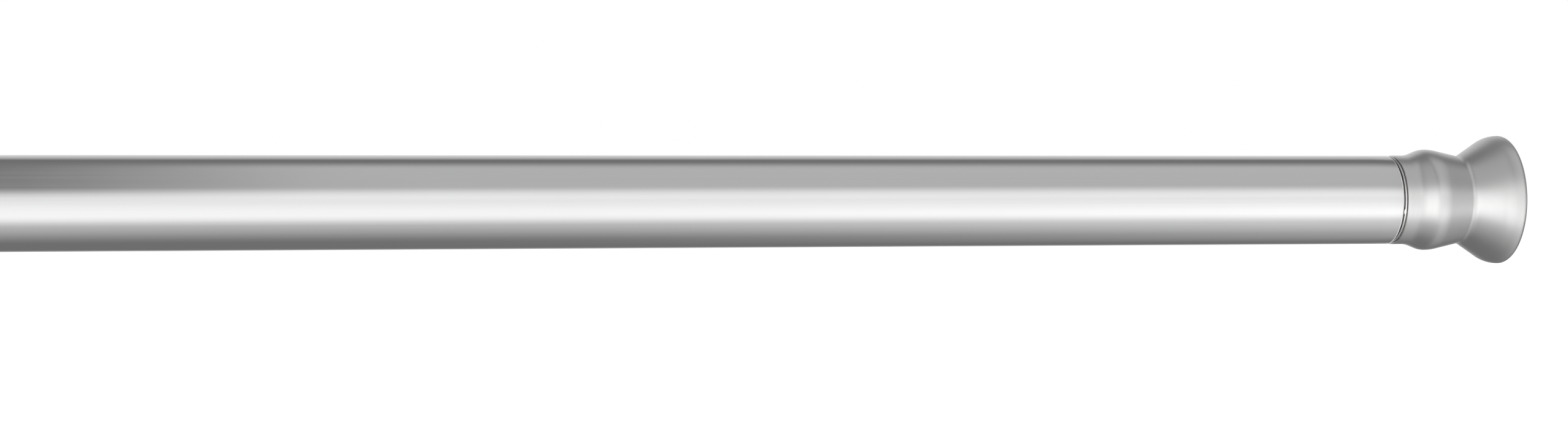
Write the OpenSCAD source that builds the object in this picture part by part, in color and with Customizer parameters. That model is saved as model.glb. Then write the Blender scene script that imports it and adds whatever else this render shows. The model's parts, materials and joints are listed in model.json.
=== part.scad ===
// Telescoping doorway bar. Its axis lies along X through the origin, with +Z up.
// The right cup stays still on its wall. The outer tube turns on it, with the lead screw.
// The lead nut then drives the inner tube and the left cup out towards -X.

/* [Bar] */
// Length from wall face to wall face, as drawn
rest_length = 712; // [712:1:740]
// Turns of the outer tube from here to fully closed
turns_in = 12; // [8:1:12]
// Turns of the outer tube from here to fully open
turns_out = 22; // [16:1:24]

/* [Tubes] */
// Outer diameter of the outer tube
outer_d = 32; // [31.8:0.1:32.2]
// Wall of the outer tube
outer_wall = 1.4; // [1.3:0.1:1.5]
// Length of the outer tube
outer_l = 542; // [538:1:542]
// Outer diameter of the inner tube
inner_d = 27; // [26.8:0.1:27]
// Wall of the inner tube
inner_wall = 1.5; // [1.3:0.1:1.6]

/* [End cover] */
// Length of the pressed cover
cover_l = 43.4; // [43:0.1:44]
// Thickness of the cover's sheet
cover_wall = 1.2; // [1:0.1:1.2]
// Radius of the flared rim
rim_r = 23.3; // [23:0.1:24]
// Radius of the turned-in lip
lip_r = 1.6; // [1.5:0.1:2]
// Distance from the rim to the waist
waist_at = 17.8; // [17.5:0.1:18.2]
// Radius of the waist
waist_r = 15.9; // [15.8:0.1:16]
// Distance from the rim to the crown of the bulge
bulge_at = 30.5; // [30:0.1:30.7]
// Radius of the bulge
bulge_r = 18.25; // [17.8:0.05:18.4]
// Distance from the rim to the straight neck
neck_at = 39.4; // [39.2:0.1:40]

/* [Wall pads] */
// Radius of the rubber pad
pad_r = 20.4; // [20:0.1:20.4]
// Height that the rubber stands out of the cover
pad_proud = 0.8; // [0.6:0.1:1]
// Thickness of the rubber in front of its steel disc
pad_t = 5.3; // [5:0.1:5.5]
// Thickness of the steel disc
disc_t = 2; // [1.5:0.1:2]

/* [Lead screw] */
// Distance that one turn moves the inner tube
pitch = 6; // [5.8:0.1:6]
// Radius over the thread's crests
crest_r = 7; // [6.8:0.1:7]
// Radius at the thread's root
root_r = 5.5; // [5.4:0.1:5.5]
// Length of the lead nut inside the inner tube
nut_l = 24; // [22:1:24]

/* [Hidden] */
$fn = 96;
eps = 0.02;             // overshoot of a cut
snug = 0.03;            // radial gap of two pressed pieces
run_gap = 0.07;         // radial gap of a running fit
face_gap = 0.1;         // gap of two faces that turn on each other
half = rest_length / 2;

// Outer tube and what is pressed in it
outer_r = outer_d / 2;
outer_bore = outer_r - outer_wall;
tube_chamfer = 0.45;
tube_gap = 1.55;        // slot between the cover's neck edge and the tube's end
tube_at = pad_proud + cover_l + tube_gap;
outer_right = half - tube_at;
outer_left = outer_right - outer_l;

// Cover: arcs of its outline, from the rim to the neck
shoulder_arc = 11.5;
flare_arc = 4;          // from the waist to the flank
waist_arc = 1.9;        // from the waist to the bulge
bulge_arc_rim = 17;
bulge_arc_neck = 7.7;
neck_arc = 10.5;
neck_r = outer_r + 0.1;
mouth_r = pad_r + 0.8;
arc_steps = 6;
cover_gap = 0.15;       // gap between the cover and its hub

// Pad, disc and hub
stud_r = 5;
head_r = 7;
head_t = 3.4;
hub_at = pad_t + disc_t;
hub_end = pad_proud + cover_l + 1.1;
hub_neck_r = waist_r - cover_wall - cover_gap;
hub_core_r = 9;
hub_shell = 2;          // moulded wall that backs the flared cover
hub_flange_t = 2.5;
hub_ribs = 6;
rib_t = 2.2;

// Swivel stack on the right stud, from the hub inwards
washer_t = 1.5;
flange_t = 1.5;
bush_r = 7;
swivel_plug_l = 14;
thrust_at = hub_end + face_gap / 2;
bush_at = thrust_at + washer_t + face_gap / 2;
swivel_plug_at = bush_at + flange_t;
stud_washer_at = swivel_plug_at + swivel_plug_l + face_gap;
clip_at = stud_washer_at + washer_t + face_gap / 2;
clip_t = 1;
clip_groove_r = 4.2;
stud_end = clip_at + clip_t + 3;

// Lead screw, its plug and its stop, as places along X
screw_plug_l = 24;
screw_plug_left = half - 100;
shank_r = 6;
collar_t = 3;
thread_right = screw_plug_left - collar_t;
thread_turns = turns_in + turns_out + 5;
thread_left = thread_right - thread_turns * pitch;
thread_steps = 12;      // facets in one turn of the thread
thread_start = thread_left + pitch / 3;
ridge_root = 1.7;       // half width of the thread's ridge at the root
ridge_crest = 0.9;      // half width of the ridge at the crest
flank_gap = 0.37;
stop_t = 3;
spigot_r = 3;
spigot_l = 14;

// Inner tube and lead nut, as places along X
inner_r = inner_d / 2;
inner_bore = inner_r - inner_wall;
nut_flange_t = 2.5;
nut_end_gap = 1.5;      // between the nut and the screw's collar, fully closed
inner_right = thread_right - nut_end_gap - nut_flange_t - turns_in * pitch;
tube_seat = 16;         // depth of the inner tube's seat in the left cap
inner_left = -half + tube_seat + eps;
nut_pin_x = inner_right - 18;
nut_pin_r = 2;
ring_peg_x = inner_right - 9;
ring_l = 14;

// Left plug, its pin and the bolt of the cap
left_plug_l = 26;
plug_pin_r = 2.5;
plug_pin_at = tube_seat + 20;
left_bolt_end = tube_seat + 14;

// ---- placing ----

// Local z runs from the right wall inwards, and local x points up.
module at_right() translate([half, 0, 0]) rotate([0, -90, 0]) children();

// Local z runs from the left wall inwards, and local x points down.
module at_left() translate([-half, 0, 0]) rotate([0, 90, 0]) children();

// Local z runs along +X from the place x.
module along(x) translate([x, 0, 0]) rotate([0, 90, 0]) children();

// ---- round stock ----

module ring(r_out, r_in, t, z = 0)
    translate([0, 0, z]) difference() {
        cylinder(h = t, r = r_out);
        translate([0, 0, -eps]) cylinder(h = t + 2 * eps, r = r_in);
    }

// Rod with a chamfer at both ends
module rod(r, l, c) rotate_extrude()
    polygon([[0, 0], [r - c, 0], [r, c], [r, l - c], [r - c, l], [0, l]]);

// Tube with its outer edges chamfered
module chamfered_tube(r_out, r_in, l, c) rotate_extrude()
    polygon([[r_in, 0], [r_out - c, 0], [r_out, c], [r_out, l - c], [r_out - c, l], [r_in, l]]);

// ---- outline of the cover ----

// Slope of the line that joins two arcs, for a change in radius h over a length d
function join_angle(d, h, arcs) = asin(arcs / norm([d, arcs - h])) - atan2(arcs - h, d);

// Arc, line and arc from [r0, z0] to [r1, z1], parallel to the axis at both ends
function join(z0, r0, arc0, z1, r1, arc1) =
    let (
        side = sign(r1 - r0),
        a = join_angle(z1 - z0, abs(r1 - r0), arc0 + arc1)
    ) concat(
        [for (i = [0:arc_steps]) let (t = a * i / arc_steps)
            [r0 + side * arc0 * (1 - cos(t)), z0 + arc0 * sin(t)]],
        [for (i = [arc_steps:-1:1]) let (t = a * i / arc_steps)
            [r1 - side * arc1 * (1 - cos(t)), z1 - arc1 * sin(t)]]
    );

// Flank, waist, bulge and neck, set in from the outer surface
function cover_curve(inset) = concat(
    join(lip_r, rim_r - inset, shoulder_arc - inset,
        waist_at, waist_r - inset, flare_arc + inset),
    join(waist_at, waist_r - inset, waist_arc + inset,
        bulge_at, bulge_r - inset, bulge_arc_rim - inset),
    join(bulge_at, bulge_r - inset, bulge_arc_neck - inset,
        neck_at, neck_r - inset, neck_arc + inset),
    [[neck_r - inset, cover_l]]
);

// Turned-in lip, from its mouth to the rim
function lip_curve(inset) = concat(
    [[mouth_r, inset]],
    [for (i = [0:arc_steps - 1]) let (t = 90 * i / arc_steps)
        [rim_r - lip_r + (lip_r - inset) * sin(t), lip_r - (lip_r - inset) * cos(t)]]
);

function reversed(list) = [for (i = [len(list) - 1:-1:0]) list[i]];

module cover_shell() translate([0, 0, pad_proud]) rotate_extrude()
    polygon(concat(
        lip_curve(0), cover_curve(0), reversed(cover_curve(cover_wall)), reversed(lip_curve(cover_wall))
    ));

// Solid that fills the cover to a gap, between two heights
module cover_filling(gap, z0, z1) intersection() {
    translate([0, 0, pad_proud]) rotate_extrude()
        polygon(concat([[0, lip_r]], cover_curve(cover_wall + gap), [[0, cover_l]]));
    translate([0, 0, z0]) cylinder(h = z1 - z0, r = rim_r);
}

// ---- pieces that both ends have ----

module wall_pad() {
    groove_w = 1.2;
    groove_t = 0.7;
    edge = 0.5;
    difference() {
        rotate_extrude()
            polygon([[0, 0], [pad_r - edge, 0], [pad_r, edge], [pad_r, hub_at], [0, hub_at]]);
        translate([0, 0, pad_t]) cylinder(h = disc_t + eps, r = pad_r - 1);
        translate([0, 0, pad_t - head_t]) cylinder(h = head_t + eps, r = head_r + 0.4);
        for (r = [9, 12.5, 16]) ring(r + groove_w, r, groove_t + eps, -eps);
    }
}

module pad_disc()
    ring(pad_r - 1 - snug, stud_r + snug, disc_t, pad_t);

// Pan-headed stud, with its head in the rubber
module headed_stud(end, tip_chamfer) {
    head_chamfer = 0.8;
    translate([0, 0, pad_t - head_t + 0.2]) rotate_extrude()
        polygon([[0, 0], [head_r - head_chamfer, 0], [head_r, head_chamfer],
            [head_r, head_t - 0.2], [stud_r, head_t - 0.2], [stud_r, end - pad_t + head_t - 0.2 - tip_chamfer],
            [stud_r - tip_chamfer, end - pad_t + head_t - 0.2], [0, end - pad_t + head_t - 0.2]]);
}

// Moulded cone that backs the flared part of the cover, hollow behind its front flange
module hub_cone(inner_solid_r) {
    cone_end = pad_proud + waist_at - 1;
    difference() {
        cover_filling(cover_gap, hub_at, cone_end);
        difference() {
            cover_filling(cover_gap + hub_shell, hub_at + hub_flange_t, cone_end + eps);
            cylinder(h = cone_end + 1, r = inner_solid_r);
        }
    }
}

// ---- right cup, which stays still ----

module right_wall_pad() color("dimgray") at_right() wall_pad();

module right_pad_disc() color("silver") at_right() pad_disc();

module right_end_cover() color("gainsboro") at_right() cover_shell();

module right_cover_hub() color("whitesmoke") at_right() {
    land_at = pad_proud + neck_at - 1.5;
    rib_at = hub_at + hub_flange_t - 0.5;
    difference() {
        union() {
            hub_cone(hub_core_r);
            translate([0, 0, hub_at]) cylinder(h = hub_end - hub_at, r = hub_core_r);
            translate([0, 0, land_at]) cylinder(h = hub_end - land_at, r = hub_neck_r);
            for (a = [0:360 / hub_ribs:359]) rotate([0, 0, a])
                translate([hub_core_r - 1, -rib_t / 2, rib_at])
                    cube([hub_neck_r - hub_core_r + 0.5, rib_t, land_at - rib_at + 1]);
        }
        translate([0, 0, hub_at - eps]) cylinder(h = hub_end - hub_at + 2 * eps, r = stud_r + snug);
    }
}

// Thin split ring in the slot between the cover and the tube, with a small nib on its free end
module right_seam_ring() color("white") at_right() {
    ring_r = outer_r - 0.25;
    ring_w = 1.05;
    ring_t = 0.5;
    ring_at = pad_proud + cover_l + 0.45;
    split_w = 1.5;
    nib_angle = 255;
    nib_l = 2.4;
    nib_w = 0.9;
    nib_arc = (nib_l * nib_l + nib_w * nib_w) / (4 * nib_w);
    difference() {
        ring(ring_r, ring_r - ring_w, ring_t, ring_at);
        translate([ring_r - 2 * ring_w, -split_w / 2, ring_at - eps])
            cube([3 * ring_w, split_w, ring_t + 2 * eps]);
    }
    // Lens-shaped nib: the common part of two discs that stand across the ring
    rotate([0, 0, nib_angle - 90]) translate([0, ring_r - 0.6, ring_at + ring_t / 2 + 0.15])
        rotate([-90, 0, 0]) intersection() {
            translate([0, nib_arc - nib_w / 2, 0]) cylinder(h = 0.6, r = nib_arc);
            translate([0, nib_w / 2 - nib_arc, 0]) cylinder(h = 0.6, r = nib_arc);
        }
}

module right_swivel_stud() color("silver") at_right() difference() {
    headed_stud(stud_end, 1);
    ring(stud_r + 1, clip_groove_r, clip_t + 0.1, clip_at - 0.05);
}

module right_thrust_washer() color("lightsteelblue") at_right()
    ring(12, stud_r + snug, washer_t, thrust_at);

module right_stud_washer() color("silver") at_right()
    ring(10, stud_r + snug, washer_t, stud_washer_at);

// E-clip that snaps sideways into the stud's groove
module right_stud_clip() color("slategray") at_right() difference() {
    ring(stud_r + 3, clip_groove_r + snug, clip_t, clip_at);
    translate([0, 0, clip_at - eps]) rotate([0, 0, 45])
        translate([0, -clip_groove_r + 0.6, 0])
            cube([stud_r + 4, 2 * clip_groove_r - 1.2, clip_t + 2 * eps]);
    for (a = [115, 225, 335]) rotate([0, 0, a])
        translate([stud_r, 0, clip_at - eps]) cylinder(h = clip_t + 2 * eps, r = 1);
}

// ---- outer tube and what turns with it ----

module outer_tube() color("gainsboro") along(outer_left)
    chamfered_tube(outer_r, outer_bore, outer_l, tube_chamfer);

module right_swivel_plug() color("darkgray") at_right() difference() {
    translate([0, 0, swivel_plug_at]) rod(outer_bore - snug, swivel_plug_l, 0.8);
    translate([0, 0, swivel_plug_at - eps]) cylinder(h = swivel_plug_l + 2 * eps, r = bush_r + snug);
}

module right_swivel_bush() color("goldenrod") at_right() difference() {
    union() {
        translate([0, 0, bush_at]) cylinder(h = flange_t, r = bush_r + 4);
        translate([0, 0, bush_at]) cylinder(h = flange_t + swivel_plug_l, r = bush_r);
    }
    translate([0, 0, bush_at - eps])
        cylinder(h = flange_t + swivel_plug_l + 2 * eps, r = stud_r + run_gap);
}

module screw_plug() color("darkgray") difference() {
    along(screw_plug_left) rod(outer_bore - snug, screw_plug_l, 0.8);
    along(screw_plug_left - eps) cylinder(h = screw_plug_l + 2 * eps, r = shank_r + snug);
    translate([screw_plug_left + screw_plug_l / 2, 0, 0])
        cylinder(h = outer_d, r = plug_pin_r + snug, center = true);
}

module screw_cross_pin() color("slategray")
    translate([screw_plug_left + screw_plug_l / 2, 0, 0.5 - outer_bore])
        rod(plug_pin_r, 2 * outer_bore - 1, 0.5);

// Helical thread along +z: a prism with a ridge that rises and fades over half a turn
module thread(z0, z1, start, turns, low_r, high_r, low_w, high_w) {
    n = thread_steps;
    last = turns * n;
    fade = n / 2;
    // Points of one step: root, crest, crest, root
    function at(i, j) =
        let (
            lift = min(1, i / fade, (last - i) / fade),
            r = j == 0 || j == 3 ? low_r : low_r + (high_r - low_r) * lift,
            w = [-low_w, -high_w, high_w, low_w][j],
            a = 360 * i / n
        ) [r * cos(a), r * sin(a), start + pitch * i / n + w];
    function rim(i, z) = [low_r * cos(360 * i / n), low_r * sin(360 * i / n), z];
    points = concat(
        [for (i = [0:last], j = [0:3]) at(i, j)],
        [for (i = [0:n - 1]) rim(i, z0)],
        [for (i = [0:n - 1]) rim(i, z1)]
    );
    bottom = 4 * (last + 1);
    top = bottom + n;
    function p(i, j) = 4 * i + j;
    function b(i) = bottom + i % n;
    function t(i) = top + i % n;
    function tri(q) = [[q[0], q[1], q[2]], [q[0], q[2], q[3]]];
    function fan(q) = [for (k = [1:len(q) - 2]) [q[0], q[k], q[k + 1]]];
    faces = concat(
        [for (i = [0:last - 1], j = [0:2], f = tri([p(i, j), p(i, j + 1), p(i + 1, j + 1), p(i + 1, j)])) f],
        [for (i = [0:last - n - 1], f = tri([p(i, 3), p(i + n, 0), p(i + n + 1, 0), p(i + 1, 3)])) f],
        [for (i = [0:n - 2], f = tri([b(i), p(i, 0), p(i + 1, 0), b(i + 1)])) f],
        fan([p(n - 1, 0), p(n, 0), p(0, 3), p(0, 2), p(0, 1), p(0, 0), b(0), b(n - 1)]),
        [for (i = [1:n - 1], f = tri([p(last - n + i, 3), t(i), t(i + 1), p(last - n + i + 1, 3)])) f],
        fan([p(last - n + 1, 3), p(last - n, 3), p(last, 0), p(last, 1), p(last, 2), p(last, 3), t(0), t(1)]),
        [[for (i = [0:n - 1]) b(i)]],
        [[for (i = [n - 1:-1:0]) t(i)]]
    );
    polyhedron(points, faces, convexity = 10);
}

// Rolled thread, with a blind hole in each end
module lead_screw() color("lightslategray") difference() {
    along(0) thread(thread_left, thread_right, thread_start, thread_turns - 1,
        root_r, crest_r, ridge_root, ridge_crest);
    along(thread_left - eps) cylinder(h = spigot_l + 2, r = spigot_r + snug);
    along(thread_right - spigot_l - 2) cylinder(h = spigot_l + 2 + eps, r = spigot_r + snug);
}

// Turned piece pressed in the screw's end: spigot, collar that takes the push, and pinned shank
module screw_anchor() color("silver") difference() {
    union() {
        along(thread_right - spigot_l) cylinder(h = spigot_l + 1, r = spigot_r);
        along(thread_right) cylinder(h = collar_t, r = crest_r + 2);
        along(thread_right) cylinder(h = collar_t + screw_plug_l + 2, r = shank_r);
    }
    translate([screw_plug_left + screw_plug_l / 2, 0, 0])
        cylinder(h = outer_d, r = plug_pin_r + snug, center = true);
}

module screw_stop_washer() color("silver")
    along(thread_left - stop_t) ring(inner_bore - 0.6, spigot_r + snug, stop_t);

module screw_stop_bolt() color("slategray") {
    bolt_head_t = 4;
    along(thread_left - stop_t - bolt_head_t) cylinder(h = bolt_head_t, r = 5.8, $fn = 6);
    along(thread_left - stop_t - eps) cylinder(h = stop_t + spigot_l, r = spigot_r);
}

// Trim ring round the mouth of the outer tube, with a lip that hides the bush
module mouth_collar() color("gainsboro") along(outer_left - 4) {
    collar_l = 20;
    collar_r = outer_r + 1.3;
    lip = 1.8;
    edge = 0.6;
    rotate_extrude() polygon([
        [inner_r + 0.8, 0], [collar_r - edge, 0], [collar_r, edge], [collar_r, collar_l - edge],
        [collar_r - edge, collar_l], [outer_r + snug, collar_l], [outer_r + snug, lip], [inner_r + 0.8, lip]
    ]);
}

// Plain bearing in the outer tube's mouth
module mouth_bush() color("dimgray") {
    bush_flange_t = 2;
    along(outer_left - bush_flange_t) ring(outer_r - 0.2, inner_r + run_gap, bush_flange_t);
    along(outer_left - eps) ring(outer_bore - snug, inner_r + run_gap, 28);
}

// ---- inner tube, which slides without turning ----

module inner_tube() color("silver") difference() {
    along(inner_left) chamfered_tube(inner_r, inner_bore, inner_right - inner_left, 0.3);
    translate([nut_pin_x, 0, 0]) cylinder(h = outer_d, r = nut_pin_r + snug, center = true);
    translate([ring_peg_x, 0, 0]) rotate([90, 0, 0])
        cylinder(h = outer_d, r = nut_pin_r + snug, center = true);
    translate([plug_pin_at - half, 0, 0]) rotate([90, 0, 0])
        cylinder(h = outer_d, r = plug_pin_r + snug, center = true);
}

module lead_nut() color("goldenrod") difference() {
    groove_low_r = root_r + 0.7;
    groove_high_r = crest_r + 0.6;
    slope = (ridge_root - ridge_crest) / (crest_r - root_r);
    low_w = ridge_root + flank_gap - slope * (groove_low_r - root_r);
    high_w = ridge_root + flank_gap - slope * (groove_high_r - root_r);
    cut_turns = ceil(nut_l / pitch) + 3;
    cut_start = thread_start + pitch * (floor((inner_right - nut_l - thread_start) / pitch) - 1);
    union() {
        along(inner_right - nut_l) cylinder(h = nut_l, r = inner_bore - snug);
        along(inner_right + eps) cylinder(h = nut_flange_t - eps, r = inner_r);
        along(inner_right - 1) cylinder(h = 2, r = inner_bore - snug);
    }
    along(0) thread(cut_start - pitch, cut_start + (cut_turns + 1) * pitch, cut_start, cut_turns,
        groove_low_r, groove_high_r, low_w, high_w);
    translate([nut_pin_x, 0, 0]) for (side = [0, 180]) rotate([side, 0, 0])
        translate([0, 0, inner_bore - 3]) cylinder(h = 4, r = nut_pin_r + snug);
}

// Two spring pins that hold the nut in the inner tube
module lead_nut_pins() color("slategray") translate([nut_pin_x, 0, 0])
    for (side = [0, 180]) rotate([side, 0, 0])
        translate([0, 0, inner_bore - 2.9]) rod(nut_pin_r, inner_wall + 2.7, 0.3);

// Guide ring that runs in the outer tube, held by two pegs in the inner tube
module inner_guide_ring() color("whitesmoke") {
    along(ring_peg_x - ring_l / 2) ring(outer_bore - run_gap, inner_r + snug, ring_l);
    translate([ring_peg_x, 0, 0]) for (side = [90, -90]) rotate([side, 0, 0])
        translate([0, 0, inner_bore + 0.2]) cylinder(h = inner_wall + 0.4, r = nut_pin_r);
}

module left_tube_plug() color("darkgray") at_left() difference() {
    translate([0, 0, tube_seat + 0.2]) rod(inner_bore - snug, left_plug_l, 0.8);
    translate([0, 0, tube_seat]) cylinder(h = left_bolt_end - tube_seat + 1, r = stud_r + snug);
    translate([0, 0, plug_pin_at]) rotate([90, 0, 0])
        cylinder(h = outer_d, r = plug_pin_r + snug, center = true);
}

module left_plug_pin() color("slategray")
    translate([plug_pin_at - half, 0, 0]) rotate([90, 0, 0])
        translate([0, 0, 0.2 - inner_r]) rod(plug_pin_r, 2 * inner_r - 0.4, 0.4);

module left_cap_bolt() color("silver") at_left() headed_stud(left_bolt_end, 0.8);

// Moulded cup that seats the inner tube in the left cover
module left_cover_hub() color("whitesmoke") at_left() {
    sleeve_end = pad_proud + cover_l - 4.5;
    difference() {
        union() {
            hub_cone(hub_neck_r);
            translate([0, 0, hub_at]) cylinder(h = sleeve_end - hub_at, r = hub_neck_r);
        }
        translate([0, 0, hub_at - eps]) cylinder(h = tube_seat, r = stud_r + snug);
        translate([0, 0, tube_seat]) cylinder(h = cover_l, r = inner_r + snug);
    }
}

module left_end_cover() color("gainsboro") at_left() cover_shell();

// Moulded ring that fills the step between the left cover's neck and the inner tube
module left_neck_ring() color("dimgray") at_left() rotate_extrude() {
    in_r = inner_r + snug;
    seat_r = neck_r - cover_wall - snug;
    face = pad_proud + cover_l + eps;
    polygon([[in_r, face - 4], [seat_r, face - 4], [seat_r, face], [neck_r, face],
        [neck_r, face + 0.8], [neck_r - 1.5, face + 2.3], [in_r, face + 2.3]]);
}

module left_pad_disc() color("silver") at_left() pad_disc();

module left_wall_pad() color("dimgray") at_left() wall_pad();

right_wall_pad();
right_pad_disc();
right_end_cover();
right_cover_hub();
right_seam_ring();
right_swivel_stud();
right_thrust_washer();
right_stud_washer();
right_stud_clip();
outer_tube();
right_swivel_plug();
right_swivel_bush();
screw_plug();
screw_cross_pin();
lead_screw();
screw_anchor();
screw_stop_washer();
screw_stop_bolt();
mouth_collar();
mouth_bush();
inner_tube();
lead_nut();
lead_nut_pins();
inner_guide_ring();
left_tube_plug();
left_plug_pin();
left_cap_bolt();
left_cover_hub();
left_end_cover();
left_neck_ring();
left_pad_disc();
left_wall_pad();
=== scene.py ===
"""Looks of the telescoping doorway bar: smooth lathe-turned metal, rubber pads and a white studio."""

import json
import math

import bmesh
import bpy
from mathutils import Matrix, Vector


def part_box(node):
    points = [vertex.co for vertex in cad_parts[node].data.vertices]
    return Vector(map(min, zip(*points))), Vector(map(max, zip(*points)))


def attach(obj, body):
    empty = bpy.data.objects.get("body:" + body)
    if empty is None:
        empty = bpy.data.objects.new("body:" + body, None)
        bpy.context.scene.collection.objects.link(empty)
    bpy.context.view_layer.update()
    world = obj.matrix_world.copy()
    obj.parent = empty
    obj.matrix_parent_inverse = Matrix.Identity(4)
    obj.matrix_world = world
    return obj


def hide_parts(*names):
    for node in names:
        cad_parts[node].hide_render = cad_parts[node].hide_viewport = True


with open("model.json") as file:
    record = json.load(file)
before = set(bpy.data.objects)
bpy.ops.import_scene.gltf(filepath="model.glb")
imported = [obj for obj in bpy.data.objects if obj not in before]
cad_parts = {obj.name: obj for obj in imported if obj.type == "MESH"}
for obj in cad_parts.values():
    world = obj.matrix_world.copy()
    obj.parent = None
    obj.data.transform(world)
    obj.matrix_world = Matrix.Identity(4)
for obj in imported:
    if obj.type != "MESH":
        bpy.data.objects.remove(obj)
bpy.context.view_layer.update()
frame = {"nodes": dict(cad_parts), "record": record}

MM = 0.001
RIGHT_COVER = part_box("right_end_cover")
OUTER_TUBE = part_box("outer_tube")
INNER_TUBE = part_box("inner_tube")

TURN_STEPS = 256        # facets round the axis of a turned piece
ARC_STEPS = 14          # points in each arc of an outline
ON_AXIS = 1e-7          # radii and distances under this are nothing


# ---------------------------------------------------------------- outlines

def arc(cx, cr, radius, start, end, steps=ARC_STEPS):
    """Points (x, r) on an arc, with angles in degrees from +x towards +r."""
    out = []
    for i in range(steps + 1):
        t = math.radians(start + (end - start) * i / steps)
        out.append((cx + radius * math.cos(t), cr + radius * math.sin(t)))
    return out


def join(z0, r0, arc0, z1, r1, arc1):
    """Arc, straight line and arc that join two radii, level at both ends."""
    length, rise, arcs = z1 - z0, abs(r1 - r0), arc0 + arc1
    angle = math.asin(arcs / math.hypot(length, arcs - rise)) - math.atan2(arcs - rise, length)
    side = 1 if r1 > r0 else -1
    first, last = [], []
    for i in range(ARC_STEPS + 1):
        t = angle * i / ARC_STEPS
        first.append((z0 + arc0 * math.sin(t), r0 + side * arc0 * (1 - math.cos(t))))
        last.append((z1 - arc1 * math.sin(t), r1 - side * arc1 * (1 - math.cos(t))))
    return first + last[::-1]


def spaced(points, gap):
    """The same outline with long straight stretches divided, so that shading stays even."""
    out = [points[0]]
    for (x0, r0), (x1, r1) in zip(points, points[1:]):
        parts = max(1, math.ceil(math.hypot(x1 - x0, r1 - r0) / gap))
        out += [(x0 + (x1 - x0) * k / parts, r0 + (r1 - r0) * k / parts) for k in range(1, parts + 1)]
    return out


def without_repeats(points):
    """The outline with each point kept once, where two of its parts meet."""
    return [p for i, p in enumerate(points) if math.dist(p, points[i - 1]) > ON_AXIS]


# ---------------------------------------------------------------- turned meshes

def turned(name, outline, body, slot, node, sharp=40):
    """Mesh made by turning an outline of (x, r) points round the X axis.

    The outline is a closed loop, or it starts and ends on the axis."""
    outline = without_repeats(outline)
    verts, rings = [], []
    for x, r in outline:
        count = TURN_STEPS if r > ON_AXIS else 1
        rings.append([len(verts) + k % count for k in range(TURN_STEPS)])
        for k in range(count):
            t = 2 * math.pi * k / TURN_STEPS
            verts.append((x, r * math.cos(t), r * math.sin(t)))
    faces = []
    for a, b in zip(rings, rings[1:] + rings[:1]):
        for k in range(TURN_STEPS):
            n = (k + 1) % TURN_STEPS
            corner = [a[k], b[k], b[n], a[n]]
            face = [c for i, c in enumerate(corner) if c != corner[i - 1]]
            if len(face) >= 3:
                faces.append(face)
    return mesh_piece(name, verts, faces, body, slot, node, sharp)


def mesh_piece(name, verts, faces, body, slot, node, sharp):
    """Smooth closed piece that rides on a body, stands for a CAD node and has its slot's material."""
    mesh = bpy.data.meshes.new(name)
    mesh.from_pydata(verts, [], faces)
    mesh.validate()
    piece = bpy.data.objects.new(name, mesh)
    bpy.context.scene.collection.objects.link(piece)
    make_normals_face_out(mesh)
    mesh.polygons.foreach_set("use_smooth", [True] * len(mesh.polygons))
    mesh.set_sharp_from_angle(angle=math.radians(sharp))
    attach(piece, body)
    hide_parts(node)
    mesh.materials.append(MATERIALS[slot])
    return piece


def make_normals_face_out(mesh):
    bm = bmesh.new()
    bm.from_mesh(mesh)
    bmesh.ops.recalc_face_normals(bm, faces=bm.faces)
    bm.to_mesh(mesh)
    bm.free()


# ---------------------------------------------------------------- node helpers

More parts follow.
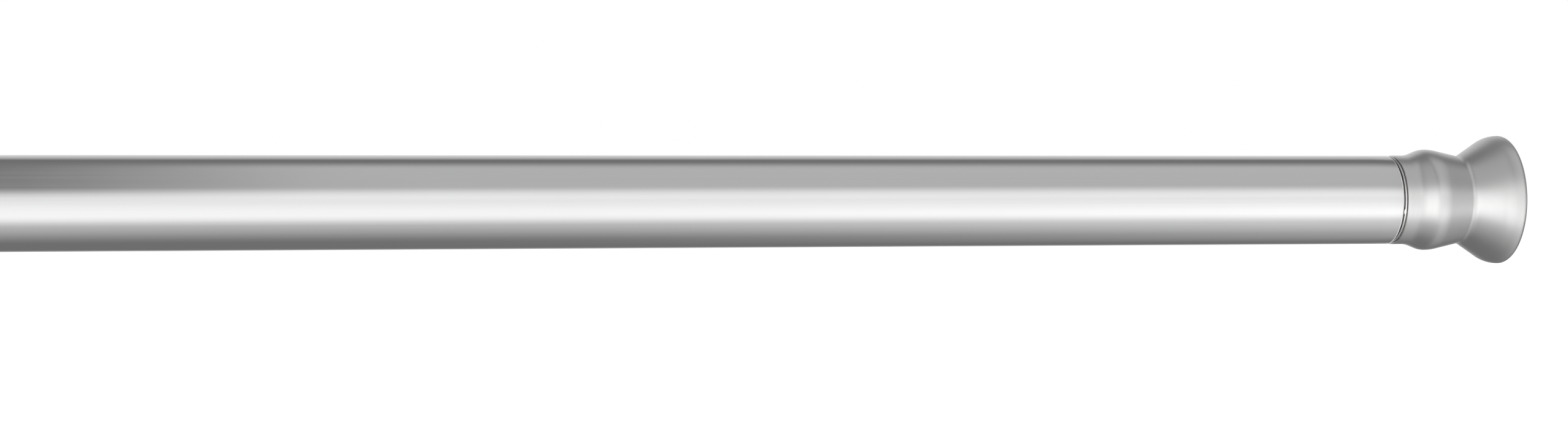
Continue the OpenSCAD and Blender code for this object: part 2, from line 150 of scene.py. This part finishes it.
class Shader:
    """A material under construction: short calls that add one node each."""

    def __init__(self, name):
        self.material = bpy.data.materials.new(name)
        self.material.use_nodes = True
        self.tree = self.material.node_tree
        self.bsdf = self.tree.nodes["Principled BSDF"]
        self.coords = self.tree.nodes.new("ShaderNodeTexCoord").outputs["Object"]

    def set(self, **values):
        for key, value in values.items():
            self.bsdf.inputs[key.replace("_", " ")].default_value = value
        return self

    def link(self, a, b):
        self.tree.links.new(a, b)

    def scaled(self, x, y, z):
        node = self.tree.nodes.new("ShaderNodeMapping")
        node.inputs["Scale"].default_value = (x, y, z)
        self.link(self.coords, node.inputs["Vector"])
        return node.outputs["Vector"]

    def noise(self, vector, scale=1.0, detail=4.0, rough=0.5):
        node = self.tree.nodes.new("ShaderNodeTexNoise")
        node.inputs["Scale"].default_value = scale
        node.inputs["Detail"].default_value = detail
        node.inputs["Roughness"].default_value = rough
        self.link(vector, node.inputs["Vector"])
        return node.outputs["Fac"]

    def ramp(self, fac, stops):
        node = self.tree.nodes.new("ShaderNodeValToRGB")
        ramp = node.color_ramp
        while len(ramp.elements) < len(stops):
            ramp.elements.new(0.5)
        for element, (place, colour) in zip(ramp.elements, stops):
            element.position = place
            element.color = (*colour, 1) if isinstance(colour, tuple) else (colour, colour, colour, 1)
        self.link(fac, node.inputs["Fac"])
        return node.outputs["Color"]

    def math(self, operation, a, b=None):
        node = self.tree.nodes.new("ShaderNodeMath")
        node.operation = operation
        for socket, value in zip(node.inputs, (a, b)):
            if value is None:
                continue
            if isinstance(value, (int, float)):
                socket.default_value = value
            else:
                self.link(value, socket)
        return node.outputs[0]

    def range(self, value, low, high, to_low, to_high):
        node = self.tree.nodes.new("ShaderNodeMapRange")
        for key, number in (("From Min", low), ("From Max", high), ("To Min", to_low), ("To Max", to_high)):
            node.inputs[key].default_value = number
        self.link(value, node.inputs["Value"])
        return node.outputs["Result"]

    def bump(self, height, strength, distance):
        node = self.tree.nodes.new("ShaderNodeBump")
        node.inputs["Strength"].default_value = strength
        node.inputs["Distance"].default_value = distance
        self.link(height, node.inputs["Height"])
        self.link(node.outputs["Normal"], self.bsdf.inputs["Normal"])

    def mix(self, fac, a, b):
        node = self.tree.nodes.new("ShaderNodeMix")
        node.data_type = "RGBA"
        for socket, value in ((node.inputs["Factor"], fac), (node.inputs[6], a), (node.inputs[7], b)):
            if isinstance(value, (int, float)):
                socket.default_value = value
            elif isinstance(value, tuple):
                socket.default_value = (*value, 1)
            else:
                self.link(value, socket)
        return node.outputs[2]

    def axis_radius(self):
        """Distance from the bar's axis, in millimetres."""
        node = self.tree.nodes.new("ShaderNodeSeparateXYZ")
        self.link(self.coords, node.inputs["Vector"])
        yy = self.math("POWER", node.outputs["Y"], 2)
        zz = self.math("POWER", node.outputs["Z"], 2)
        return self.math("MULTIPLY", self.math("SQRT", self.math("ADD", yy, zz)), 1000)


def streaked_metal(name, tint, rough, streak, spread, grain):
    """Plated metal polished along the bar: long fine streaks and a faint uneven haze."""
    s = Shader(name).set(Metallic=1.0, Anisotropic=0.25)
    lines = s.noise(s.scaled(3, 1400, 1400), detail=5, rough=0.6)
    bands = s.noise(s.scaled(1.5, 260, 260), detail=3, rough=0.5)
    haze = s.noise(s.scaled(18, 30, 30), detail=3)
    both = s.math("ADD", s.math("MULTIPLY", lines, 0.55), s.math("MULTIPLY", bands, 0.45))
    low = tuple(c * (1 - streak) for c in tint)
    high = tuple(min(1, c * (1 + streak)) for c in tint)
    s.link(s.ramp(both, [(0.32, low), (0.5, tint), (0.68, high)]), s.bsdf.inputs["Base Color"])
    value = s.math("ADD", s.range(both, 0.3, 0.7, rough - spread, rough + spread),
                   s.range(haze, 0.3, 0.7, -0.02, 0.03))
    s.link(value, s.bsdf.inputs["Roughness"])
    s.bump(both, grain, 0.00002)
    return s.material


def satin_cover_metal(name, tint, rough):
    """Pressed and plated sheet: soft grain, lap marks round the axis, a matter shoulder and a worn rim."""
    s = Shader(name).set(Metallic=1.0)
    grain = s.noise(s.scaled(900, 900, 900), detail=3)
    haze = s.noise(s.scaled(55, 55, 55), detail=4, rough=0.55)
    laps = s.noise(s.scaled(1300, 25, 25), detail=3)
    radius = s.axis_radius()
    shoulder = s.range(radius, 17.6, 22.6, 0.0, 1.0)
    patchy = s.mix(s.range(haze, 0.3, 0.7, 0.0, 0.07), tint, (0.35, 0.35, 0.35))
    worn = s.math("MULTIPLY", s.range(radius, 23.0, 23.28, 0.0, 0.5), s.range(laps, 0.35, 0.65, 0.2, 1.0))
    s.link(s.mix(worn, patchy, (0.9, 0.9, 0.9)), s.bsdf.inputs["Base Color"])
    value = s.math("ADD", s.range(haze, 0.3, 0.7, rough - 0.03, rough + 0.03),
                   s.range(laps, 0.3, 0.7, -0.015, 0.02))
    s.link(s.math("ADD", value, s.math("MULTIPLY", shoulder, 0.08)), s.bsdf.inputs["Roughness"])
    s.bump(s.math("ADD", s.math("MULTIPLY", grain, 0.4), s.math("MULTIPLY", laps, 0.6)), 0.05, 0.00003)
    return s.material


def turned_metal(name, tint, rough, ring_scale=900):
    """Machined steel or bronze with fine tool rings round the axis."""
    s = Shader(name).set(Metallic=1.0)
    rings = s.noise(s.scaled(ring_scale, 12, 12), detail=4)
    spots = s.noise(s.scaled(120, 120, 120), detail=4)
    colour = s.ramp(spots, [(0.3, tuple(c * 0.82 for c in tint)), (0.65, tint)])
    s.link(colour, s.bsdf.inputs["Base Color"])
    s.link(s.range(rings, 0.3, 0.7, rough - 0.06, rough + 0.08), s.bsdf.inputs["Roughness"])
    s.bump(rings, 0.15, 0.00003)
    return s.material


def painted_highlight_edge(name, tint, rough):
    """Cut tube end, coloured near white as a painted highlight: a slightly sparkling, barely metallic edge
    with burnish marks.
    """
    s = Shader(name).set(Metallic=0.15)
    marks = s.noise(s.scaled(700, 260, 260), detail=4)
    s.link(s.ramp(marks, [(0.35, tuple(c * 0.94 for c in tint)), (0.6, tint)]), s.bsdf.inputs["Base Color"])
    s.link(s.range(marks, 0.3, 0.7, rough - 0.08, rough + 0.08), s.bsdf.inputs["Roughness"])
    s.bump(marks, 0.1, 0.00003)
    return s.material


def moulded(name, tint, rough, stipple, depth):
    """Moulded plastic or rubber with a fine stippled skin and scuffs."""
    s = Shader(name).set(Metallic=0.0)
    pores = s.noise(s.scaled(stipple, stipple, stipple), detail=3)
    scuffs = s.noise(s.scaled(90, 90, 90), detail=5, rough=0.7)
    colour = s.ramp(scuffs, [(0.35, tuple(c * 0.8 for c in tint)), (0.62, tint),
                             (0.8, tuple(min(1, c * 1.35 + 0.01) for c in tint))])
    s.link(colour, s.bsdf.inputs["Base Color"])
    s.link(s.range(scuffs, 0.3, 0.75, rough - 0.08, rough + 0.1), s.bsdf.inputs["Roughness"])
    s.bump(pores, 0.35, depth)
    return s.material


# ---------------------------------------------------------------- pieces

# The cover's outline, as distances from its rim and radii
LIP = 1.6 * MM
SHEET = 1.2 * MM
SHOULDER_ARC = 11.5 * MM
FLARE_ARC = 4 * MM
WAIST_AT, WAIST_R, WAIST_ARC = 17.8 * MM, 15.9 * MM, 1.9 * MM
BULGE_AT, BULGE_R = 30.5 * MM, 18.25 * MM
BULGE_ARC_RIM, BULGE_ARC_NECK = 17 * MM, 7.7 * MM
NECK_AT, NECK_ARC = 39.4 * MM, 10.5 * MM
NECK_CLEAR = 0.1 * MM
MOUTH_CLEAR = 0.8 * MM

OUTER_WALL, OUTER_BEVEL = 1.4 * MM, 0.45 * MM
INNER_WALL, INNER_BEVEL = 1.5 * MM, 0.3 * MM
COLLAR_CLEAR = 0.8 * MM        # between the mouth collar's lip and the inner tube
PRESS_GAP = 0.03 * MM          # between a ring and the tube it is pressed on
GROOVE_RADII = (9 * MM, 12.5 * MM, 16 * MM)     # inner edges of the pad's grip grooves


def cover_outline(inset, length, rim, neck):
    """The cover's outer outline from rim to neck, or its inner one where inset is the sheet's thickness."""
    return (
        join(LIP, rim - inset, SHOULDER_ARC - inset, WAIST_AT, WAIST_R - inset, FLARE_ARC + inset)
        + join(WAIST_AT, WAIST_R - inset, WAIST_ARC + inset, BULGE_AT, BULGE_R - inset, BULGE_ARC_RIM - inset)
        + join(BULGE_AT, BULGE_R - inset, BULGE_ARC_NECK - inset, NECK_AT, neck - inset, NECK_ARC + inset)
        + [(length, neck - inset)]
    )


def end_cover(side, body):
    """Pressed cover: rolled lip, flared bell, sharp waist, bulge and straight neck."""
    node = f"{side}_end_cover"
    low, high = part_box(node)
    length, rim = high.x - low.x, high.z
    neck = OUTER_TUBE[1].z + NECK_CLEAR
    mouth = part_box(f"{side}_wall_pad")[1].z + MOUTH_CLEAR
    edge = 0.25 * MM
    outer = arc(LIP, rim - LIP, LIP, 180, 90) + cover_outline(0, length - edge, rim, neck)
    inner = arc(LIP, rim - LIP, LIP - SHEET, 180, 90) + cover_outline(SHEET, length - edge, rim, neck)
    end = arc(length - edge, neck - edge, edge, 90, 0, 5)
    end += arc(length - edge, neck - SHEET + edge, edge, 0, -90, 5)
    lip = [(SHEET, mouth + edge)] + arc(edge, mouth + edge, edge, -90, -180, 5)
    outline = spaced(lip + outer + end + inner[::-1], 1.2 * MM)
    place = (lambda z: high.x - z) if side == "right" else (lambda z: low.x + z)
    turned(f"{side}_flared_cover", [(place(z), r) for z, r in outline], body, "cover_metal", node)


def tube(name, node, body, slot, wall, bevel):
    """Drawn tube with a rounded cut at both ends, the cut coloured near white as a painted highlight."""
    low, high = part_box(node)
    r, b = high.z, bevel
    left = arc(low.x + b, r - b, b, 180, 90, 6)
    right = arc(high.x - b, r - b, b, 90, 0, 6)
    outline = spaced([(low.x, r - wall)] + left + right + [(high.x, r - wall)], 8 * MM)
    piece = turned(name, outline, body, slot, node)
    # the rounded ends get the near-white cut-edge material, a painted highlight
    piece.data.materials.append(MATERIALS["cut_edge_painted_highlight"])
    for face in piece.data.polygons:
        x = face.center.x
        if x < low.x + b or x > high.x - b:
            face.material_index = 1


def wall_pad(side, body):
    """Rubber pad: flat face with moulded grip grooves and rounded edges."""
    node = f"{side}_wall_pad"
    low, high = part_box(node)
    radius, depth = high.z, high.x - low.x
    edge, groove_w, groove_t, round_ = 0.6 * MM, 1.2 * MM, 0.7 * MM, 0.2 * MM
    groove_taper = 0.15 * MM
    seat_r, seat_at = radius - 1 * MM, depth - 2 * MM           # recess for the steel disc
    pocket_r, pocket_at = 7.4 * MM, seat_at - 3.4 * MM          # pocket for the stud's head
    outline = [(0, 0)]
    for r in GROOVE_RADII:
        outline += arc(round_, r - round_, round_, 180, 90, 4)
        outline += [(groove_t, r + groove_taper), (groove_t, r + groove_w - groove_taper)]
        outline += arc(round_, r + groove_w + round_, round_, 270, 180, 4)
    outline += arc(edge, radius - edge, edge, 180, 90, 6)
    outline += [(depth, radius), (depth, seat_r), (seat_at, seat_r), (seat_at, pocket_r)]
    outline = spaced(outline + [(pocket_at, pocket_r), (pocket_at, 0)], 2.5 * MM)
    place = (lambda z: high.x - z) if side == "right" else (lambda z: low.x + z)
    turned(f"{side}_rubber_pad", [(place(z), r) for z, r in outline], body, "rubber", node)


def mouth_collar():
    """Plated trim ring at the outer tube's mouth."""
    low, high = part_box("mouth_collar")
    r, edge = high.z, 0.9 * MM
    bore, seat, lip = INNER_TUBE[1].z + COLLAR_CLEAR, OUTER_TUBE[1].z + PRESS_GAP, 1.8 * MM
    small = 0.3 * MM
    outline = arc(low.x + small, bore + small, small, 270, 180, 4)
    outline += arc(low.x + edge, r - edge, edge, 180, 90, 8) + arc(high.x - edge, r - edge, edge, 90, 0, 8)
    outline += [(high.x, seat), (low.x + lip, seat), (low.x + lip, bore)]
    turned("mouth_trim_ring", spaced(outline, 2 * MM), "turning_tube", "cover_metal", "mouth_collar")


def neck_ring():
    """Moulded ring between the left cover and the inner tube."""
    low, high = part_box("left_neck_ring")
    r, bore = high.z, INNER_TUBE[1].z + PRESS_GAP
    seat, face = r - 1.23 * MM, low.x + 4 * MM
    edge, small, shoulder = 0.8 * MM, 0.3 * MM, 1.5 * MM
    outline = [(low.x, bore), (low.x, seat), (face, seat), (face, r)]
    outline += [(high.x - shoulder, r)] + arc(high.x - edge, r - shoulder, edge, 50, 0, 6)
    outline += arc(high.x - small, bore + small, small, 0, -90, 4)
    turned("left_step_ring", spaced(outline, 2 * MM), "sliding_tube", "dark_nylon", "left_neck_ring")


# ---------------------------------------------------------------- studio

def floor():
    """Plain white floor, well below the bar."""
    size, drop = 30.0, 0.6
    mesh = bpy.data.meshes.new("floor")
    mesh.from_pydata([(-size, -size, -drop), (size, -size, -drop), (size, size, -drop), (-size, size, -drop)],
                     [], [(0, 1, 2, 3)])
    piece = bpy.data.objects.new("floor", mesh)
    bpy.context.scene.collection.objects.link(piece)
    s = Shader("floor_white").set(Roughness=0.9, Emission_Strength=0.7)
    s.bsdf.inputs["Base Color"].default_value = (0.9, 0.9, 0.9, 1)
    s.bsdf.inputs["Emission Color"].default_value = (1, 1, 1, 1)
    mesh.materials.append(s.material)
    piece.visible_glossy = False


# The studio's soft cards. Each stands at an angle round the bar: 0 is the camera's side, 90 above, -90 below.
# The last two values say how far to the right (1) or left (-1) a direction points where the card is not yet
# seen and where it is seen fully.
# name: (angle, half width, soft edge, strength, not seen at, fully seen at)
ROOM_LEVEL = 0.18
CARDS = {
    "front_softbox": (-10, 20, 30, 0.50, -1.0, -0.9),
    "floor_bounce": (-35, 5, 75, 0.40, -1.0, -0.9),
    "overhead_card": (60, 30, 30, 0.32, 0.0, 0.1),
    "back_strip": (150, 5, 20, 0.40, -1.0, -0.9),
    "rear_card": (180, 10, 20, 0.50, -1.0, -0.9),
    "right_fill": (-75, 30, 40, 0.20, 0.1, 0.5),
    "left_card": (30, 55, 25, 0.25, -0.02, -0.12),
}
END_FADE = (0.45, 0.85, 0.55)     # towards the bar's right end the tent fades to this share


class Sky:
    """The world's node tree: short calls that add one node each."""

    def __init__(self, world):
        world.use_nodes = True
        self.nodes, self.links = world.node_tree.nodes, world.node_tree.links
        self.nodes.clear()

    def add(self, kind, **inputs):
        node = self.nodes.new(kind)
        for key, value in inputs.items():
            socket = node.inputs[int(key[1:])]
            if isinstance(value, (int, float)):
                socket.default_value = value
            else:
                self.links.new(value, socket)
        return node

    def math(self, operation, a, b=0.0):
        node = self.add("ShaderNodeMath", i0=a, i1=b)
        node.operation = operation
        return node.outputs[0]

    def ease(self, value, start, stop, low, high):
        """Goes softly from low to high while value goes from start to stop."""
        node = self.add("ShaderNodeMapRange", i0=value, i1=start, i2=stop, i3=low, i4=high)
        node.interpolation_type = "SMOOTHSTEP"
        return node.outputs[0]

    def card(self, degrees, side, angle, half, soft, strength, seen_from, full_at):
        """A soft-edged light card that stands at one angle round the bar."""
        apart = self.math("ABSOLUTE", self.math("SUBTRACT", degrees, angle))
        apart = self.math("SUBTRACT", 180.0, self.math("ABSOLUTE", self.math("SUBTRACT", apart, 180.0)))
        lit = self.ease(apart, half, half + soft, strength, 0.0)
        return self.math("MULTIPLY", lit, self.ease(side, seen_from, full_at, 0.0, 1.0))


def studio_world():
    """A dim room with a few soft light cards round the bar. The camera sees plain white."""
    world = bpy.data.worlds.new("studio")
    bpy.context.scene.world = world
    sky = Sky(world)
    coords = sky.add("ShaderNodeTexCoord")
    split = sky.add("ShaderNodeSeparateXYZ", i0=coords.outputs["Generated"]).outputs
    turn = sky.math("ARCTAN2", split["Z"], sky.math("MULTIPLY", split["Y"], -1.0))
    degrees = sky.math("MULTIPLY", turn, 180 / math.pi)
    level = ROOM_LEVEL
    for card in CARDS.values():
        level = sky.math("ADD", sky.card(degrees, split["X"], *card), level)
    fade_from, fade_to, share = END_FADE
    level = sky.math("MULTIPLY", level, sky.ease(split["X"], fade_from, fade_to, 1.0, share))
    tent = sky.add("ShaderNodeBackground", i0=level)
    backdrop = sky.add("ShaderNodeBackground")
    backdrop.inputs["Color"].default_value = (1, 1, 1, 1)
    path = sky.add("ShaderNodeLightPath")
    both = sky.add("ShaderNodeMixShader", i0=path.outputs["Is Camera Ray"], i1=tent.outputs[0],
                   i2=backdrop.outputs[0])
    sky.add("ShaderNodeOutputWorld", i0=both.outputs[0])


# The camera's view in degrees, and its place in metres: left of the right cover's end, in front of the axis
# and above it
CAMERA_AZIMUTH, CAMERA_ELEVATION = -13.57, 0.967
CAMERA_LEFT, CAMERA_AWAY, CAMERA_UP = 0.5451, 1.1389, 0.0130
SENSOR_MM, LENS_MM = 36, 77.34


def camera():
    """A long lens, nearly level, that looks along the bar towards the right cup."""
    azimuth, elevation = math.radians(CAMERA_AZIMUTH), math.radians(CAMERA_ELEVATION)
    back = Vector((math.sin(azimuth) * math.cos(elevation), -math.cos(azimuth) * math.cos(elevation),
                   math.sin(elevation)))
    data = bpy.data.cameras.new("camera")
    data.sensor_width, data.lens = SENSOR_MM, LENS_MM
    data.clip_start, data.clip_end = 0.05, 100
    eye = bpy.data.objects.new("camera", data)
    eye.location = (RIGHT_COVER[1].x - CAMERA_LEFT, -CAMERA_AWAY, CAMERA_UP)
    eye.rotation_mode = "QUATERNION"
    eye.rotation_quaternion = (-back).to_track_quat("-Z", "Y")
    bpy.context.scene.collection.objects.link(eye)
    bpy.context.scene.camera = eye


# ---------------------------------------------------------------- build

MATERIALS = {
    "tube_metal": streaked_metal("tube_metal", (0.85, 0.85, 0.855), 0.13, 0.025, 0.03, 0.10),
    "inner_tube_metal": streaked_metal("inner_tube_metal", (0.80, 0.80, 0.81), 0.22, 0.05, 0.05, 0.15),
    "cover_metal": satin_cover_metal("cover_metal", (0.83, 0.83, 0.825), 0.31),
    # the cut edge's near-white, barely metallic colour is a painted highlight
    "cut_edge_painted_highlight": painted_highlight_edge("cut_edge_painted_highlight", (0.97, 0.97, 0.97), 0.45),
    "bright_ring": turned_metal("bright_ring", (0.93, 0.93, 0.93), 0.25),
    "rubber": moulded("rubber", (0.032, 0.032, 0.034), 0.68, 2600, 0.00006),
    "zinc_steel": turned_metal("zinc_steel", (0.62, 0.64, 0.67), 0.38),
    "turned_steel": turned_metal("turned_steel", (0.55, 0.55, 0.57), 0.30),
    "screw_steel": turned_metal("screw_steel", (0.42, 0.43, 0.46), 0.28),
    "hard_steel": turned_metal("hard_steel", (0.16, 0.16, 0.18), 0.40),
    "bronze": turned_metal("bronze", (0.74, 0.53, 0.28), 0.30),
    "pale_nylon": moulded("pale_nylon", (0.80, 0.79, 0.75), 0.45, 1500, 0.00003),
    "dark_nylon": moulded("dark_nylon", (0.045, 0.045, 0.05), 0.42, 1500, 0.00003),
}


def finish_cad_nodes():
    """Gives every CAD node that stays its procedural material."""
    slots = {s["node"]: s["material_slot"] for s in frame["record"]["subparts"]}
    for name, node in frame["nodes"].items():
        node.data.materials.clear()
        node.data.materials.append(MATERIALS[slots[name]])


finish_cad_nodes()
end_cover("right", "right_cup")
end_cover("left", "sliding_tube")
tube("drawn_outer_tube", "outer_tube", "turning_tube", "tube_metal", OUTER_WALL, OUTER_BEVEL)
tube("drawn_inner_tube", "inner_tube", "sliding_tube", "inner_tube_metal", INNER_WALL, INNER_BEVEL)
wall_pad("right", "right_cup")
wall_pad("left", "sliding_tube")
mouth_collar()
neck_ring()

floor()
studio_world()
camera()
bpy.context.scene.view_settings.view_transform = "Standard"
